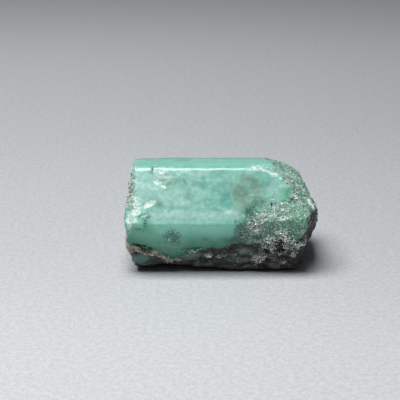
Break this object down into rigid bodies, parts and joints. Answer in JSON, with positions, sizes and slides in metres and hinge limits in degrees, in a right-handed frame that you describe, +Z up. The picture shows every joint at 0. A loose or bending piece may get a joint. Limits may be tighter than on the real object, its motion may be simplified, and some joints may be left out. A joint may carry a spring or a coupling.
{
  "type": "raw emerald crystal",
  "caption": "Short tumbled six-sided beryl crystal, milky green, with a blunt worn nose and a dark schist underside, lying flat.",
  "frame": {"origin": "middle of the footprint, on the surface that the stone rests on", "axes": "+X along the crystal's long axis towards its blunt nose, -Y towards the polished front, +Z up"},
  "size_m": [0.0312, 0.0184, 0.0168],
  "materials": {
    "milky_emerald": "worn satin polish, milky green with mica flakes and dark schist"
  },
  "bodies": {
    "root": {"emerald_crystal": "milky_emerald"}
  },
  "joints": []
}
